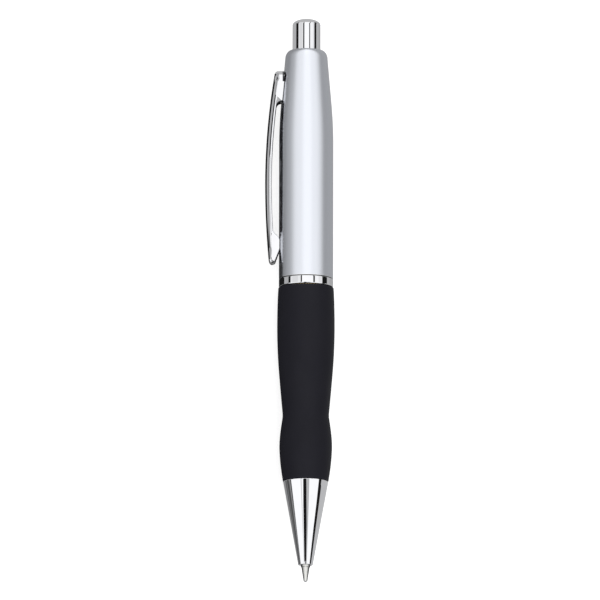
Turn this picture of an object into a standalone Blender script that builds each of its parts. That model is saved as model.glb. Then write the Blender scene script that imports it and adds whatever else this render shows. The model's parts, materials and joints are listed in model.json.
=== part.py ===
"""A retractable ballpoint pen, modelled as the separate pieces it is assembled from.

The pen is described along its own axis: local Z is the distance behind the writing ball, towards the
button, and local X points at the clip. The empty pen_frame then lays the pen down as it rests on a table,
its point towards world +X, touching the table with the widest part of the grip and an edge of the clip.
"""

import math

import bmesh
import bpy
from mathutils import Matrix, Vector

MM = 0.001

# Overall sizes
PEN_LENGTH = 140.0 * MM
BARREL_R = 6.64 * MM
GRIP_R = 7.13 * MM
SEAM = 0.15 * MM  # joint line left between two shells
SHELL_STEPS = 40
INNER_STEPS = 28
FINE_STEPS = 20
BALL_RINGS = 12
DOME_STEPS = 9
CUT_OVERRUN = 1.0 * MM  # how far a cutting solid runs past what it cuts
SHARP_ANGLE = math.radians(35)

# Stations along the pen
NOSE_END = 4.2 * MM
CONE_TOP = 24.8 * MM
GRIP_TOP = 73.0 * MM
RING_TOP = 75.0 * MM
TAPER_START = 108.5 * MM
TAPER_BLEND = 10.0 * MM  # length over which the taper sets in
TAPER_SLOPE = 0.087
SHOULDER = 130.0 * MM
BARREL_TOP = 132.1 * MM

# Upper barrel
RIM_R = 3.75 * MM
RIM_HOLE_R = 3.65 * MM
SOCKET_R = 5.4 * MM
SOCKET_END = 86.5 * MM
WAIST_BORE_R = 5.1 * MM
SLEEVE_BORE_R = 4.85 * MM
SLEEVE_BORE_START = 104.0 * MM
SLEEVE_BORE_END = 124.4 * MM
SLEEVE_BORE_STEP = 0.5 * MM
RIM_BORE_START = 126.4 * MM

# Push button and thrust tube
BUTTON_R = 3.43 * MM
BUTTON_SKIRT = 125.5 * MM
BUTTON_DOME = 1.5 * MM
BUTTON_EDGE = 0.1 * MM
BUTTON_BORE_R = 3.0 * MM
BUTTON_BORE_END = 137.4 * MM
PLUNGER_R = 3.0 * MM
PLUNGER_STEM_R = 2.75 * MM
PLUNGER_TOP = 137.1 * MM
PLUNGER_BORE_R = 1.9 * MM
PLUNGER_BORE_END = 128.0 * MM
PLUNGER_FACE = 107.4 * MM

# Click mechanism
SLEEVE_R = 4.65 * MM
SLEEVE_BORE = 3.2 * MM
SLEEVE_START = 105.8 * MM
SLEEVE_END = 124.0 * MM
GROOVE_R = 4.05 * MM
GROOVE_END = 118.3 * MM
GROOVE_WIDTH = 1.7 * MM
FIN_R = 3.85 * MM
FIN_WIDTH = 1.2 * MM
FIN_COUNT = 4
FIRST_FIN = math.radians(45)
FIN_START = 101.5 * MM
FIN_END = 105.5 * MM
FIN_SLANT = 0.8 * MM
KEY_START = 108.6 * MM
KEY_END = 112.4 * MM
TOOTH_COUNT = 8
TOOTH_HEIGHT = 0.8 * MM
TOOTH_INNER_R = 1.95 * MM
ROTOR_START = 98.4 * MM
ROTOR_COLLAR_END = 101.0 * MM
ROTOR_FACE = 105.5 * MM
ROTOR_END = 111.5 * MM
ROTOR_FOOT_R = 2.5 * MM
ROTOR_R = 2.9 * MM
ROTOR_PIN_R = 1.6 * MM
TOOTH_ROOT = 0.4 * MM  # how far a ring of teeth runs into the body it stands on

# Lower half
TUBE_R = 4.9 * MM
TUBE_BORE_R = 3.2 * MM
TUBE_END = 72.6 * MM
NOSE_SOCKET_R = 4.45 * MM
NOSE_SOCKET_END = 33.0 * MM
COUPLER_SOCKET_R = 4.3 * MM
COUPLER_SOCKET_START = 65.6 * MM
GRIP_BORE_R = 5.1 * MM
COUPLER_START = 66.0 * MM
COUPLER_SHANK_R = 4.1 * MM
COUPLER_FLANGE_R = 5.2 * MM
COUPLER_FLANGE_START = 72.9 * MM
COUPLER_FLANGE_END = 75.0 * MM
COUPLER_END = 85.4 * MM
COUPLER_BORE_R = 3.35 * MM
THREAD_R = 5.15 * MM
THREAD_DEPTH = 0.35 * MM
THREAD_PITCH = 1.5 * MM
THREAD_START = 77.0 * MM
O_RING_R = 5.0 * MM
O_RING_THICK_R = 0.32 * MM
O_RING_STATION = 75.8 * MM
O_RING_SIDES = 8
RING_BORE_R = 5.4 * MM
RING_EDGE = 0.15 * MM

# Nose cone
NOSE_R = 1.76 * MM
CONE_R = 5.51 * MM
NOSE_HOLE_R = 1.3 * MM
NOSE_HOLE_END = 7.2 * MM
NECK_ROOM_R = 1.78 * MM
SPRING_SEAT = 10.5 * MM
SPRING_ROOM_R = 2.5 * MM
REFILL_ROOM_START = 19.5 * MM
SPIGOT_R = 4.25 * MM
SPIGOT_END = 32.0 * MM
SPIGOT_THREAD = 0.25 * MM
SPIGOT_THREAD_START = 26.2 * MM
SPIGOT_PITCH = 1.8 * MM
NOSE_EDGE = 0.12 * MM

# Refill
BALL_R = 0.4 * MM
LIP = 0.25 * MM
LIP_R = 0.46 * MM
SOCKET_LIP_R = 0.4 * MM
BALL_ROOM_R = 0.43 * MM
BALL_ROOM_END = 0.85 * MM
INK_CHANNEL_R = 0.2 * MM
POINT_CONE_R = 0.98 * MM
POINT_CONE_END = 3.6 * MM
POINT_R = 1.15 * MM
POINT_STEP = 8.4 * MM
POINT_END = 12.0 * MM
POINT_SHANK_R = 0.9 * MM
NECK_START = 8.7 * MM
NECK_R = 1.6 * MM
NECK_BORE_R = 1.1 * MM
NECK_BORE_END = 12.4 * MM
NECK_CHANNEL_R = 0.7 * MM
NECK_SHOULDER = 22.0 * MM
NECK_FLANGE_R = 2.9 * MM
NECK_FLANGE_END = 22.8 * MM
NECK_PLUG_R = 2.35 * MM
NECK_END = 27.0 * MM
CARTRIDGE_R = 2.95 * MM
CARTRIDGE_BORE_R = 2.6 * MM
CARTRIDGE_START = 23.1 * MM
CARTRIDGE_END = 95.8 * MM
INK_R = 2.35 * MM
INK_START = 27.3 * MM
INK_END = 79.0 * MM
FOLLOWER_END = 84.0 * MM
PLUG_R = 2.35 * MM
PLUG_START = 90.5 * MM
PLUG_FLANGE_START = 96.1 * MM
REFILL_END = 98.1 * MM
PLUG_VENT_R = 0.6 * MM
PLUG_SLOT = 1.0 * MM

# Return spring
SPRING_R = 2.1 * MM
WIRE_R = 0.2 * MM
SPRING_START = 10.75 * MM
SPRING_END = 21.75 * MM
SPRING_TURNS = 8
SPRING_STEPS = 14
END_PITCH = 0.5 * MM

# Clip
CLIP_REACH = 10.0 * MM  # pen axis to the crown of the clip
CLIP_CROWN = 99.0 * MM
CLIP_UPPER_BOW_R = 178.0 * MM
CLIP_LOWER_BOW_R = 222.0 * MM
CLIP_DEPTH = 1.6 * MM
CLIP_TOP = 126.6 * MM
CLIP_END = 78.5 * MM
CLIP_TOP_WIDTH = 4.4 * MM
CLIP_END_WIDTH = 3.6 * MM
CLIP_EDGE = 0.4 * MM
CLIP_TOP_BEND = 0.9 * MM
CLIP_TIP_ROUND = 0.7 * MM
CLIP_TIP_EASE = 0.1 * MM
CLIP_SEAT_GAP = 0.25 * MM
ROOT_FLOOR = 119.2 * MM
ROOT_FILLET = 1.25 * MM
FOOT_TOP = 86.9 * MM
FOOT_PAD_DEPTH = 0.3 * MM  # how far the foot's outline runs inside the barrel's radius before it is cut
FOOT_PAD_TOP = 84.6 * MM
FOOT_PAD_END = 82.6 * MM
TAB_START = 120.4 * MM
TAB_END = 125.6 * MM
TAB_WIDTH = 2.6 * MM
TAB_INNER = 4.25 * MM
TAB_OUTER = 7.0 * MM
SLOT_ROOM = 0.4 * MM
SLOT_INNER = 3.95 * MM
CLIP_PIVOT = Vector((5.9 * MM, 0, 125.2 * MM))

TINY = 1e-7

CHROME = (0.86, 0.86, 0.87)
SATIN_SILVER = (0.62, 0.63, 0.66)
BLACK_RUBBER = (0.016, 0.016, 0.019)
WHITE_ACETAL = (0.86, 0.86, 0.83)
BLACK_PLASTIC = (0.03, 0.03, 0.033)
STEEL = (0.62, 0.61, 0.59)
BRASS = (0.78, 0.60, 0.27)
NICKEL_SILVER = (0.70, 0.68, 0.62)
BLUE_INK = (0.01, 0.02, 0.12)
CLEAR_GREASE = (0.75, 0.72, 0.55)
HARD_METAL = (0.55, 0.55, 0.57)


# ---------------------------------------------------------------- scene helpers


def clear_scene():
    """Remove whatever the file holds before the pen is built."""
    for obj in list(bpy.data.objects):
        bpy.data.objects.remove(obj)


def finish(name, colour, metallic, roughness):
    """A Principled material with one colour."""
    material = bpy.data.materials.new(name)
    material.use_nodes = True
    shader = material.node_tree.nodes["Principled BSDF"]
    shader.inputs["Base Color"].default_value = (*colour, 1)
    shader.inputs["Metallic"].default_value = metallic
    shader.inputs["Roughness"].default_value = roughness
    material.diffuse_color = (*colour, 1)
    return material


def chrome(name):
    return finish(name, CHROME, 1, 0.06)


def acetal(name):
    return finish(name, WHITE_ACETAL, 0, 0.35)


def frame_empty(name, parent=None, location=(0, 0, 0)):
    """An empty that carries other pieces."""
    empty = bpy.data.objects.new(name, None)
    empty.empty_display_size = 5 * MM
    bpy.context.scene.collection.objects.link(empty)
    empty.parent = parent
    empty.location = location
    return empty


def place(name, bm, parent, material=None, origin=(0, 0, 0)):
    """Turn bm, drawn about the pen's own axes, into an object whose origin is at the given point."""
    bmesh.ops.remove_doubles(bm, verts=bm.verts, dist=TINY)
    bmesh.ops.recalc_face_normals(bm, faces=bm.faces)
    bmesh.ops.translate(bm, verts=bm.verts, vec=-Vector(origin))
    mesh = bpy.data.meshes.new(name)
    bm.to_mesh(mesh)
    bm.free()
    mesh.shade_smooth()
    mesh.set_sharp_from_angle(angle=SHARP_ANGLE)
    obj = bpy.data.objects.new(name, mesh)
    bpy.context.scene.collection.objects.link(obj)
    obj.parent = parent
    obj.location = Vector(origin) - parent_point(parent)
    if material:
        mesh.materials.append(material)
    return obj


def parent_point(parent):
    """Where the parent empty stands along the pen's own axes."""
    return parent.location if parent.parent else Vector()


def helper(name, bm, parent, origin=(0, 0, 0)):
    """A guide solid that only takes part in a Boolean."""
    obj = place(name, bm, parent, origin=origin)
    obj.hide_render = True
    obj.display_type = "WIRE"
    return obj


def combine(obj, other, operation):
    """Add a Boolean of the given kind with another object."""
    modifier = obj.modifiers.new(operation.lower() + "_" + other.name, "BOOLEAN")
    modifier.operation = operation
    modifier.object = other


# ---------------------------------------------------------------- shape helpers


def turned(profile, steps):
    """Spin a closed outline of (radius, station) points round the pen's axis."""
    bm = bmesh.new()
    ring = [bm.verts.new((radius, 0, station)) for radius, station in profile]
    pairs = zip(ring, ring[1:] + ring[:1])
    edges = [bm.edges.new(p) for p in pairs if p[0].co.x > TINY or p[1].co.x > TINY]
    bmesh.ops.spin(
        bm,
        geom=ring + edges,
        cent=(0, 0, 0),
        axis=(0, 0, 1),
        angle=2 * math.pi,
        steps=steps,
        use_merge=True,
    )
    return bm


def block(low, high, turn=0.0):
    """A box between two corners, turned about the pen's axis."""
    bm = bmesh.new()
    bmesh.ops.create_cube(bm, size=1)
    size = Vector(high) - Vector(low)
    middle = (Vector(high) + Vector(low)) / 2
    bmesh.ops.scale(bm, verts=bm.verts, vec=size)
    bmesh.ops.translate(bm, verts=bm.verts, vec=middle)
    bmesh.ops.rotate(bm, verts=bm.verts, cent=(0, 0, 0), matrix=Matrix.Rotation(turn, 3, "Z"))
    return bm


def quarter(centre_r, centre_z, half_r, half_z, steps):
    """Quarter ellipse from its widest radius up to its highest station."""
    angles = [math.pi / 2 * i / steps for i in range(steps + 1)]
    return [(centre_r + half_r * math.cos(a), centre_z + half_z * math.sin(a)) for a in angles]


def through(points, steps):
    """A smooth outline through a few (radius, station) points, by Catmull-Rom spans."""
    ends = [points[0]] + points + [points[-1]]
    outline = []
    for p0, p1, p2, p3 in zip(ends, ends[1:], ends[2:], ends[3:]):
        for i in range(steps):
            t = i / steps
            weights = (
                (-t + 2 * t * t - t**3) / 2,
                (2 - 5 * t * t + 3 * t**3) / 2,
                (t + 4 * t * t - 3 * t**3) / 2,
                (-t * t + t**3) / 2,
            )
            span = (p0, p1, p2, p3)
            outline.append(tuple(sum(w * p[k] for w, p in zip(weights, span)) for k in (0, 1)))
    return outline + [points[-1]]


def thread(radius, depth, start, end, pitch):
    """The ridges of a thread as (radius, station) points."""
    points = []
    station = start
    while station + pitch <= end:
        points += [(radius - depth, station), (radius, station + pitch / 2)]
        station += pitch
    return points + [(radius - depth, station)]


def tooth_ring(inner, outer, base, valley, crest):
    """A ring standing on one flat face, with a zigzag of teeth on the other."""
    bm = bmesh.new()
    corners = []
    for i in range(2 * TOOTH_COUNT):
        angle = math.pi * i / TOOTH_COUNT
        across = Vector((math.cos(angle), math.sin(angle), 0))
        top = crest if i % 2 else valley
        stops = ((inner, base), (outer, base), (outer, top), (inner, top))
        corners.append([bm.verts.new(across * r + Vector((0, 0, z))) for r, z in stops])
    for now, after in zip(corners, corners[1:] + corners[:1]):
        for k in range(4):
            bm.faces.new((now[k], now[(k + 1) % 4], after[(k + 1) % 4], after[k]))
    return bm


def spokes(inner, outer, width, start, end, slant):
    """Ribs at even angles round the axis, their far ends cut on a slant."""
    bm = bmesh.new()
    for i in range(FIN_COUNT):
        turn = Matrix.Rotation(FIRST_FIN + 2 * math.pi * i / FIN_COUNT, 4, "Z")
        made = bmesh.ops.create_cube(bm, size=1)["verts"]
        for v in made:
            side = v.co.y * width
            drop = slant * (0.5 - v.co.y) if v.co.z > 0 else 0
            radius = inner if v.co.x < 0 else outer
            station = start if v.co.z < 0 else end - drop
            v.co = turn @ Vector((radius, side, station))
    return bm


# ---------------------------------------------------------------- outlines


def barrel_radius(station):
    """The upper barrel's radius where it tapers: curved at first, then straight."""
    past = station - TAPER_START
    blend = min(past, TAPER_BLEND)
    drop = TAPER_SLOPE * blend**2 / (2 * TAPER_BLEND) + TAPER_SLOPE * (past - blend)
    return BARREL_R - drop


def barrel_outline():
    """The outside of the upper barrel, from the ring to the rim round the button."""
    taper_steps = 8
    shoulder_steps = 6
    outline = [(BARREL_R, RING_TOP + SEAM)]
    for i in range(taper_steps):
        station = TAPER_START + (SHOULDER - TAPER_START) * i / taper_steps
        outline.append((barrel_radius(station), station))
    width = barrel_radius(SHOULDER) - RIM_R
    return outline + quarter(RIM_R, SHOULDER, width, BARREL_TOP - SHOULDER, shoulder_steps)


def grip_outline():
    """The outside of the rubber sleeve: a long belly, a waist for the fingers, a short belly."""
    belly = [
        (6.86 * MM, GRIP_TOP - SEAM),
        (7.06 * MM, 68.5 * MM),
        (GRIP_R, 62.0 * MM),
        (6.92 * MM, 55.5 * MM),
        (6.39 * MM, 48.5 * MM),
        (5.76 * MM, 41.8 * MM),
    ]
    front = [
        (5.76 * MM, 40.8 * MM),
        (6.26 * MM, 36.6 * MM),
        (6.43 * MM, 33.2 * MM),
        (6.15 * MM, 29.0 * MM),
        (5.58 * MM, CONE_TOP + SEAM),
    ]
    return through(belly, 2) + through(front, 2)


def clip_face(station):
    """Distance from the pen's axis to the clip's outer face: two shallow arcs that meet at its crown."""
    bow = CLIP_UPPER_BOW_R if station > CLIP_CROWN else CLIP_LOWER_BOW_R
    return CLIP_REACH - (station - CLIP_CROWN) ** 2 / (2 * bow)


def clip_outer():
    """The clip's outer face and the bend over its root, from the tip up."""
    bow_steps = 10
    bend_steps = 4
    low, high = CLIP_END + CLIP_TIP_ROUND, CLIP_TOP - CLIP_TOP_BEND
    stations = [low + (high - low) * i / bow_steps for i in range(bow_steps + 1)]
    bend_x = clip_face(high) - CLIP_TOP_BEND
    bend = quarter(bend_x, high, CLIP_TOP_BEND, CLIP_TOP_BEND, bend_steps)
    return [(clip_face(z), z) for z in stations] + bend[1:]


def clip_inner():
    """The clip's root, the fillet under it and the arm's inner face, from the top down."""
    fillet_steps = 5
    arm_steps = 7
    root_in = BARREL_R / 2
    arm_end = ROOT_FLOOR - ROOT_FILLET
    fillet_x = clip_face(arm_end) - CLIP_DEPTH - ROOT_FILLET
    root = [(root_in, CLIP_TOP), (root_in, ROOT_FLOOR)]
    fillet = quarter(fillet_x, arm_end, ROOT_FILLET, ROOT_FILLET, fillet_steps)
    under = [arm_end + (FOOT_TOP - arm_end) * i / arm_steps for i in range(1, arm_steps + 1)]
    return root + fillet[::-1] + [(clip_face(z) - CLIP_DEPTH, z) for z in under]


def clip_foot():
    """The clip's foot, from the arm down to the tip."""
    pad_x = BARREL_R - FOOT_PAD_DEPTH
    slope = [
        (7.67 * MM, 86.3 * MM),
        (6.91 * MM, 85.6 * MM),
        (pad_x, FOOT_PAD_TOP),
        (pad_x, FOOT_PAD_END),
        (7.62 * MM, 79.2 * MM),
    ]
    low = CLIP_END + CLIP_TIP_ROUND
    heel_x = clip_face(CLIP_END) - CLIP_DEPTH + CLIP_TIP_ROUND
    toe_x = clip_face(low) - CLIP_TIP_ROUND / 2
    return slope + [(heel_x, CLIP_END), (toe_x, CLIP_END + CLIP_TIP_EASE)]


def clip_outline():
    """The clip's side view as (distance from the axis, station) points."""
    return clip_outer() + clip_inner() + clip_foot()


# ---------------------------------------------------------------- shells


def upper_barrel(frame, slot):
    bore = [
        (RIM_HOLE_R, BARREL_TOP),
        (RIM_HOLE_R, RIM_BORE_START),
        (SLEEVE_BORE_R, SLEEVE_BORE_END),
        (SLEEVE_BORE_R, SLEEVE_BORE_START),
        (WAIST_BORE_R, SLEEVE_BORE_START - SLEEVE_BORE_STEP),
        (WAIST_BORE_R, SOCKET_END),
        (SOCKET_R, SOCKET_END),
        (SOCKET_R, RING_TOP + SEAM),
    ]
    look = finish("satin_silver", SATIN_SILVER, 0.85, 0.3)
    shell = place("upper_barrel", turned(barrel_outline() + bore, SHELL_STEPS), frame, look)
    combine(shell, slot, "DIFFERENCE")


def centre_ring(frame):
    low, high = GRIP_TOP + SEAM / 2, RING_TOP
    outline = [
        (RING_BORE_R, low),
        (BARREL_R - RING_EDGE, low),
        (BARREL_R, low + RING_EDGE),
        (BARREL_R, high - RING_EDGE),
        (BARREL_R - RING_EDGE, high),
        (RING_BORE_R, high),
    ]
    place("centre_ring", turned(outline, SHELL_STEPS), frame, chrome("ring_chrome"))


def rubber_grip(frame):
    bore = [(GRIP_BORE_R, CONE_TOP + SEAM), (GRIP_BORE_R, GRIP_TOP - SEAM)]
    look = finish("black_rubber", BLACK_RUBBER, 0, 0.62)
    place("rubber_grip", turned(grip_outline() + bore, SHELL_STEPS), frame, look)


def lower_barrel(frame):
    outline = [
        (TUBE_R, CONE_TOP + 2 * SEAM),
        (TUBE_R, TUBE_END),
        (COUPLER_SOCKET_R, TUBE_END),
        (COUPLER_SOCKET_R, COUPLER_SOCKET_START),
        (TUBE_BORE_R, COUPLER_SOCKET_START),
        (TUBE_BORE_R, NOSE_SOCKET_END),
        (NOSE_SOCKET_R, NOSE_SOCKET_END),
        (NOSE_SOCKET_R, CONE_TOP + 2 * SEAM),
    ]
    look = finish("black_plastic", BLACK_PLASTIC, 0, 0.4)
    place("lower_barrel", turned(outline, INNER_STEPS), frame, look)


def threaded_coupler(frame):
    ridges = thread(THREAD_R, THREAD_DEPTH, THREAD_START, COUPLER_END, THREAD_PITCH)
    outline = [
        (COUPLER_BORE_R, COUPLER_START),
        (COUPLER_SHANK_R, COUPLER_START),
        (COUPLER_SHANK_R, COUPLER_FLANGE_START),
        (COUPLER_FLANGE_R, COUPLER_FLANGE_START),
        (COUPLER_FLANGE_R, COUPLER_FLANGE_END),
        (O_RING_R - 2 * O_RING_THICK_R, COUPLER_FLANGE_END),
        (O_RING_R - 2 * O_RING_THICK_R, THREAD_START - SEAM),
        *ridges,
        (THREAD_R - THREAD_DEPTH, COUPLER_END),
        (COUPLER_BORE_R, COUPLER_END),
    ]
    look = finish("coupler_brass", BRASS, 1, 0.25)
    place("threaded_coupler", turned(outline, INNER_STEPS), frame, look)


def coupler_o_ring(frame):
    """The rubber ring at the root of the coupler's thread that stops the halves working loose."""
    angles = [2 * math.pi * i / O_RING_SIDES for i in range(O_RING_SIDES)]
    outline = [
        (O_RING_R + O_RING_THICK_R * math.cos(a), O_RING_STATION + O_RING_THICK_R * math.sin(a))
        for a in angles
    ]
    look = finish("o_ring_rubber", BLACK_RUBBER, 0, 0.5)
    place("coupler_o_ring", turned(outline, INNER_STEPS), frame, look)


def nose_cone(frame):
    root_r = SPIGOT_R - SPIGOT_THREAD
    ridges = thread(SPIGOT_R, SPIGOT_THREAD, SPIGOT_THREAD_START, SPIGOT_END, SPIGOT_PITCH)
    outline = [
        (NOSE_HOLE_R, NOSE_END),
        (NOSE_R - NOSE_EDGE, NOSE_END),
        (NOSE_R, NOSE_END + NOSE_EDGE),
        (CONE_R, CONE_TOP - NOSE_EDGE),
        (CONE_R - NOSE_EDGE, CONE_TOP),
        (root_r, CONE_TOP),
        *ridges,
        (root_r, SPIGOT_END),
        (TUBE_BORE_R, SPIGOT_END),
        (TUBE_BORE_R, REFILL_ROOM_START),
        (SPRING_ROOM_R, REFILL_ROOM_START),
        (SPRING_ROOM_R, SPRING_SEAT),
        (NECK_ROOM_R, SPRING_SEAT),
        (NECK_ROOM_R, NOSE_HOLE_END),
        (NOSE_HOLE_R, NOSE_HOLE_END),
    ]
    place("nose_cone", turned(outline, SHELL_STEPS), frame, chrome("nose_chrome"))


# ---------------------------------------------------------------- click mechanism


def button_cap(carriage):
    bore = [
        (0, BUTTON_BORE_END),
        (BUTTON_BORE_R, BUTTON_BORE_END),
        (BUTTON_BORE_R, BUTTON_SKIRT),
    ]
    side = [
        (BUTTON_R - BUTTON_EDGE, BUTTON_SKIRT),
        (BUTTON_R, BUTTON_SKIRT + BUTTON_EDGE),
    ]
    dome = quarter(0, PEN_LENGTH - BUTTON_DOME, BUTTON_R, BUTTON_DOME, DOME_STEPS)
    bm = turned(bore + side + dome, SHELL_STEPS)
    place("button_cap", bm, carriage, chrome("button_chrome"), (0, 0, BUTTON_SKIRT))


def plunger(carriage):
    outline = [
        (PLUNGER_BORE_R, PLUNGER_FACE),
        (PLUNGER_R, PLUNGER_FACE),
        (PLUNGER_R, SLEEVE_END),
        (PLUNGER_STEM_R, BUTTON_SKIRT - SEAM),
        (PLUNGER_STEM_R, PLUNGER_TOP),
        (0, PLUNGER_TOP),
        (0, PLUNGER_BORE_END),
        (PLUNGER_BORE_R, PLUNGER_BORE_END),
    ]
    tube = place("plunger", turned(outline, INNER_STEPS), carriage, acetal("plunger_acetal"))
    base, crest = PLUNGER_FACE + TOOTH_ROOT, PLUNGER_FACE - TOOTH_HEIGHT
    teeth = tooth_ring(TOOTH_INNER_R, PLUNGER_R - SEAM, base, PLUNGER_FACE, crest)
    combine(tube, helper("plunger_teeth", teeth, carriage), "UNION")
    keys = spokes(ROTOR_FOOT_R, FIN_R, FIN_WIDTH, KEY_START, KEY_END, 0)
    combine(tube, helper("plunger_keys", keys, carriage), "UNION")


def rotor(carriage):
    outline = [
        (0, ROTOR_START),
        (ROTOR_FOOT_R, ROTOR_START),
        (ROTOR_FOOT_R, ROTOR_COLLAR_END),
        (ROTOR_R, ROTOR_COLLAR_END),
        (ROTOR_R, ROTOR_FACE),
        (ROTOR_PIN_R, ROTOR_FACE),
        (ROTOR_PIN_R, ROTOR_END),
        (0, ROTOR_END),
    ]
    hub = place("rotor", turned(outline, INNER_STEPS), carriage, acetal("rotor_acetal"))
    base, crest = ROTOR_FACE - TOOTH_ROOT, ROTOR_FACE + TOOTH_HEIGHT
    teeth = tooth_ring(TOOTH_INNER_R, ROTOR_R - SEAM, base, ROTOR_FACE, crest)
    combine(hub, helper("rotor_teeth", teeth, carriage), "UNION")
    fins = spokes(ROTOR_PIN_R, FIN_R, FIN_WIDTH, FIN_START, FIN_END, FIN_SLANT)
    combine(hub, helper("rotor_fins", fins, carriage), "UNION")


def guide_sleeve(frame, slot):
    outline = [
        (SLEEVE_BORE, SLEEVE_START),
        (SLEEVE_R, SLEEVE_START),
        (SLEEVE_R, SLEEVE_END),
        (SLEEVE_BORE, SLEEVE_END),
    ]
    sleeve = place("guide_sleeve", turned(outline, INNER_STEPS), frame, acetal("sleeve_acetal"))
    low = SLEEVE_START - CUT_OVERRUN
    grooves = spokes(ROTOR_FOOT_R, GROOVE_R, GROOVE_WIDTH, low, GROOVE_END, 0)
    combine(sleeve, helper("sleeve_grooves", grooves, frame), "DIFFERENCE")
    combine(sleeve, slot, "DIFFERENCE")


def return_spring(frame):
    """A round wire coil whose end turns close up against its seats."""
    total = SPRING_TURNS * SPRING_STEPS
    low, high = SPRING_START + WIRE_R, SPRING_END - WIRE_R
    free = high - low - 2 * END_PITCH
    curve = bpy.data.curves.new("return_spring", "CURVE")
    curve.dimensions = "3D"
    curve.bevel_depth = WIRE_R
    curve.bevel_resolution = 1
    curve.use_fill_caps = True
    spline = curve.splines.new("POLY")
    spline.points.add(total)
    for i, point in enumerate(spline.points):
        turn = i / SPRING_STEPS
        first = min(turn, 1) * END_PITCH
        middle = min(max(turn - 1, 0), SPRING_TURNS - 2) / (SPRING_TURNS - 2) * free
        last = max(turn - SPRING_TURNS + 1, 0) * END_PITCH
        angle = 2 * math.pi * turn
        across = Vector((math.cos(angle), math.sin(angle), 0)) * SPRING_R
        point.co = (across.x, across.y, first + middle + last, 1)
    curve.materials.append(finish("spring_steel", STEEL, 1, 0.25))
    coil = bpy.data.objects.new("return_spring", curve)
    bpy.context.scene.collection.objects.link(coil)
    coil.parent = frame
    coil.location = (0, 0, low)


# ---------------------------------------------------------------- refill


def refill_tip(carriage):
    outline = [
        (LIP_R, LIP),
        (POINT_CONE_R, POINT_CONE_END),
        (POINT_R, POINT_CONE_END + SEAM),
        (POINT_R, POINT_STEP),
        (POINT_SHANK_R, POINT_STEP),
        (POINT_SHANK_R, POINT_END),
        (INK_CHANNEL_R, POINT_END),
        (INK_CHANNEL_R, BALL_ROOM_END + SEAM),
        (BALL_ROOM_R, BALL_ROOM_END),
        (BALL_ROOM_R, BALL_R),
        (SOCKET_LIP_R, LIP),
    ]
    look = finish("nickel_silver", NICKEL_SILVER, 1, 0.2)
    place("refill_tip", turned(outline, INNER_STEPS), carriage, look, (0, 0, POINT_STEP))


def writing_ball(carriage):
    bm = bmesh.new()
    centre = (0, 0, BALL_R)
    bmesh.ops.create_uvsphere(bm, u_segments=FINE_STEPS, v_segments=BALL_RINGS, radius=BALL_R)
    bmesh.ops.translate(bm, verts=bm.verts, vec=centre)
    place("writing_ball", bm, carriage, finish("ball_carbide", HARD_METAL, 1, 0.15), centre)


def refill_neck(carriage):
    outline = [
        (NECK_BORE_R, NECK_START),
        (NECK_R - SEAM, NECK_START),
        (NECK_R, NECK_START + SEAM),
        (NECK_R, NECK_SHOULDER),
        (NECK_FLANGE_R, NECK_SHOULDER),
        (NECK_FLANGE_R, NECK_FLANGE_END),
        (NECK_PLUG_R, NECK_FLANGE_END),
        (NECK_PLUG_R, NECK_END),
        (NECK_CHANNEL_R, NECK_END),
        (NECK_CHANNEL_R, NECK_BORE_END),
        (NECK_BORE_R, NECK_BORE_END),
    ]
    look = finish("neck_brass", BRASS, 1, 0.25)
    place("refill_neck", turned(outline, FINE_STEPS), carriage, look, (0, 0, NECK_SHOULDER))


def refill_tube(carriage):
    outline = [
        (CARTRIDGE_BORE_R, CARTRIDGE_START),
        (CARTRIDGE_R, CARTRIDGE_START),
        (CARTRIDGE_R, CARTRIDGE_END),
        (CARTRIDGE_BORE_R, CARTRIDGE_END),
    ]
    look = finish("refill_steel", STEEL, 1, 0.3)
    place("refill_tube", turned(outline, FINE_STEPS), carriage, look, (0, 0, CARTRIDGE_START))


def refill_end_plug(carriage):
    """The plug in the refill's rear end: vented through the middle, slotted across its face."""
    outline = [
        (PLUG_VENT_R, PLUG_START),
        (PLUG_R, PLUG_START),
        (PLUG_R, PLUG_FLANGE_START),
        (CARTRIDGE_R, PLUG_FLANGE_START),
        (CARTRIDGE_R, REFILL_END),
        (PLUG_VENT_R, REFILL_END),
    ]
    look = finish("plug_plastic", BLACK_PLASTIC, 0, 0.45)
    plug = place("refill_end_plug", turned(outline, FINE_STEPS), carriage, look)
    reach = 2 * CARTRIDGE_R
    low = (-reach, -PLUG_SLOT / 2, REFILL_END - PLUG_SLOT)
    high = (reach, PLUG_SLOT / 2, REFILL_END + PLUG_SLOT)
    combine(plug, helper("plug_slot", block(low, high), carriage), "DIFFERENCE")


def refill_filling(carriage):
    """The ink column and the grease that follows it down the tube."""
    ink = [(0, INK_START), (INK_R, INK_START), (INK_R, INK_END), (0, INK_END)]
    look = finish("blue_ink", BLUE_INK, 0, 0.2)
    place("refill_ink", turned(ink, FINE_STEPS), carriage, look, (0, 0, INK_START))
    low = INK_END + SEAM
    grease = [(0, low), (INK_R, low), (INK_R, FOLLOWER_END), (0, FOLLOWER_END)]
    look = finish("follower_grease", CLEAR_GREASE, 0, 0.15)
    place("refill_follower", turned(grease, FINE_STEPS), carriage, look, (0, 0, low))


# ---------------------------------------------------------------- clip


def clip_slot(frame):
    """The guide solid that cuts the barrel's slot and the sleeve's notch for the clip's tab."""
    half = TAB_WIDTH / 2 + SLOT_ROOM
    low = (SLOT_INNER, -half, TAB_START - SLOT_ROOM)
    high = (TAB_OUTER, half, TAB_END + SLOT_ROOM)
    return helper("clip_slot", block(low, high), frame)


def clip_width(station):
    """The clip narrows from its root to its foot."""
    share = (station - CLIP_END) / (CLIP_TOP - CLIP_END)
    return CLIP_END_WIDTH + (CLIP_TOP_WIDTH - CLIP_END_WIDTH) * share


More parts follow.
